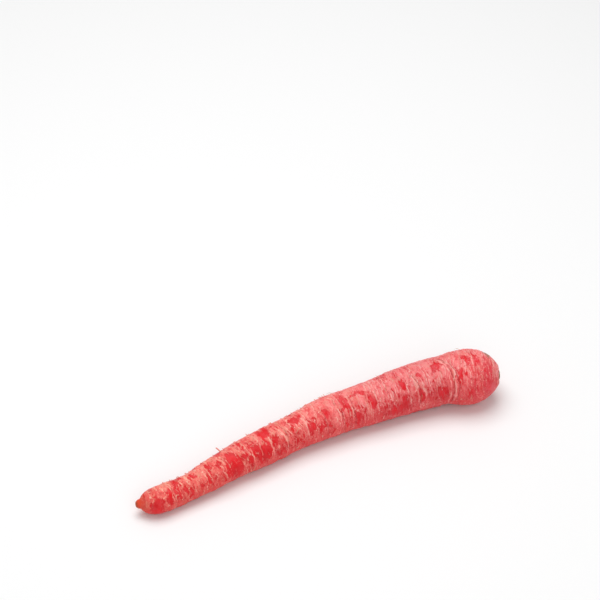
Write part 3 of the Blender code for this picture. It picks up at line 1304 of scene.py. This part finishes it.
class CARROT_OT_stalks(bpy.types.Operator):
    """Adds the cut leaf stalks in the pit of the crown"""

    bl_idname = "carrot.stalks"
    bl_label = "Add cut stalks"

    def execute(self, context):
        count = context.scene.carrot_sizes.stalks
        middle, side, up = grown_root().axis_at(ROOT_LENGTH - STALK_DEPTH)
        forward = np.cross(up, side)
        draw = np.random.default_rng(STALK_SEED)
        steps, widths = np.array(STALK_OUTLINE).T
        steps = steps[:, None]
        stalks = []
        for index in range(count):
            share = (index + 0.5) / count
            turn = index * GOLDEN_ANGLE
            reach = STALK_SPREAD * math.sqrt(share)
            foot = middle + reach * (math.cos(turn) * up + math.sin(turn) * side)
            tall = (STALK_HEIGHT - STALK_DROP * share + draw.uniform(*STALK_UNEVEN)) * MM
            thick = draw.uniform(*STALK_RADIUS) * MM
            lean = (foot - middle) * STALK_LEAN
            path = foot + forward * tall * steps + lean * steps
            stalks.append(swept(path, thick * widths, STALK_SIDES))
        colours = context.scene.carrot_colours
        material = plain_finish("cut_stalk", colours.stalk, colours.stalk_cut, 800, 0.7)
        new_piece("cut_stalks", *joined(stalks), material)
        return {"FINISHED"}


def floor_piece(colour):
    """A wide pale floor just under the root."""
    signs = (-1, -1), (1, -1), (1, 1), (-1, 1)
    corners = [(FLOOR_HALF * x, FLOOR_HALF * y, FLOOR_HEIGHT) for x, y in signs]
    mesh = bpy.data.meshes.new("floor")
    mesh.from_pydata(corners, [], [(0, 1, 2, 3)])
    finish = Finish("pale_floor")
    finish.set(Base_Color=colour, Roughness=0.9, Specular_IOR_Level=0.1)
    mesh.materials.append(finish.material)
    floor = bpy.data.objects.new("floor", mesh)
    bpy.context.scene.collection.objects.link(floor)


def softbox(name, spot, power):
    """A large square light that faces the origin."""
    lamp = bpy.data.lights.new(name, "AREA")
    lamp.shape = "SQUARE"
    lamp.size = LIGHT_SIZE
    lamp.energy = power
    light = bpy.data.objects.new(name, lamp)
    light.location = spot
    light.rotation_euler = (-Vector(spot)).to_track_quat("-Z", "Y").to_euler()
    bpy.context.scene.collection.objects.link(light)


class CARROT_OT_stage(bpy.types.Operator):
    """Sets up the floor, the soft light and the photograph's view"""

    bl_idname = "carrot.stage"
    bl_label = "Set the stage"

    def execute(self, context):
        stage = context.scene.carrot_stage
        floor_piece(context.scene.carrot_colours.floor)
        softbox("overhead_light", KEY_LIGHT, stage.key_power)
        softbox("front_light", FILL_LIGHT, stage.fill_power)
        world = bpy.data.worlds.new("even_light")
        world.use_nodes = True
        background = world.node_tree.nodes["Background"]
        background.inputs["Color"].default_value = (1, 1, 1, 1)
        background.inputs["Strength"].default_value = stage.sky
        context.scene.world = world
        context.scene.view_settings.view_transform = "Standard"
        self.place_camera(context.scene, stage)
        return {"FINISHED"}

    def place_camera(self, scene, stage):
        """The camera looks down on the root from the photograph's side."""
        lens = bpy.data.cameras.new("photo_view")
        lens.angle = stage.angle_of_view
        away = Vector((
            math.sin(stage.azimuth) * math.cos(stage.elevation),
            -math.cos(stage.azimuth) * math.cos(stage.elevation),
            math.sin(stage.elevation),
        ))
        camera = bpy.data.objects.new("photo_view", lens)
        camera.location = Vector(stage.target) + away * stage.distance
        camera.rotation_euler = (-away).to_track_quat("-Z", "Y").to_euler()
        scene.collection.objects.link(camera)
        scene.camera = camera


class CARROT_PT_panel(bpy.types.Panel):
    """Lists the carrot's pieces and values"""

    bl_label = "Carrot"
    bl_idname = "CARROT_PT_panel"
    bl_space_type = "VIEW_3D"
    bl_region_type = "UI"
    bl_category = "Carrot"

    def draw(self, context):
        scene = context.scene
        for operator in OPERATORS:
            self.layout.operator(operator.bl_idname)
        for group in (scene.carrot_sizes, scene.carrot_colours, scene.carrot_stage):
            box = self.layout.box()
            for name in group.__annotations__:
                box.prop(group, name)


OPERATORS = (CARROT_OT_root, CARROT_OT_hairs, CARROT_OT_shreds, CARROT_OT_stalks, CARROT_OT_stage)
CLASSES = (CarrotSizes, CarrotColours, CarrotStage, *OPERATORS, CARROT_PT_panel)


def register():
    for each in CLASSES:
        bpy.utils.register_class(each)
    bpy.types.Scene.carrot_sizes = PointerProperty(type=CarrotSizes)
    bpy.types.Scene.carrot_colours = PointerProperty(type=CarrotColours)
    bpy.types.Scene.carrot_stage = PointerProperty(type=CarrotStage)


def unregister():
    del bpy.types.Scene.carrot_stage
    del bpy.types.Scene.carrot_colours
    del bpy.types.Scene.carrot_sizes
    for each in reversed(CLASSES):
        bpy.utils.unregister_class(each)


def main():
    """Builds every piece and the stage."""
    register()
    bpy.ops.carrot.root()
    bpy.ops.carrot.hairs()
    bpy.ops.carrot.shreds()
    bpy.ops.carrot.stalks()
    bpy.ops.carrot.stage()


if __name__ == "__main__":
    main()
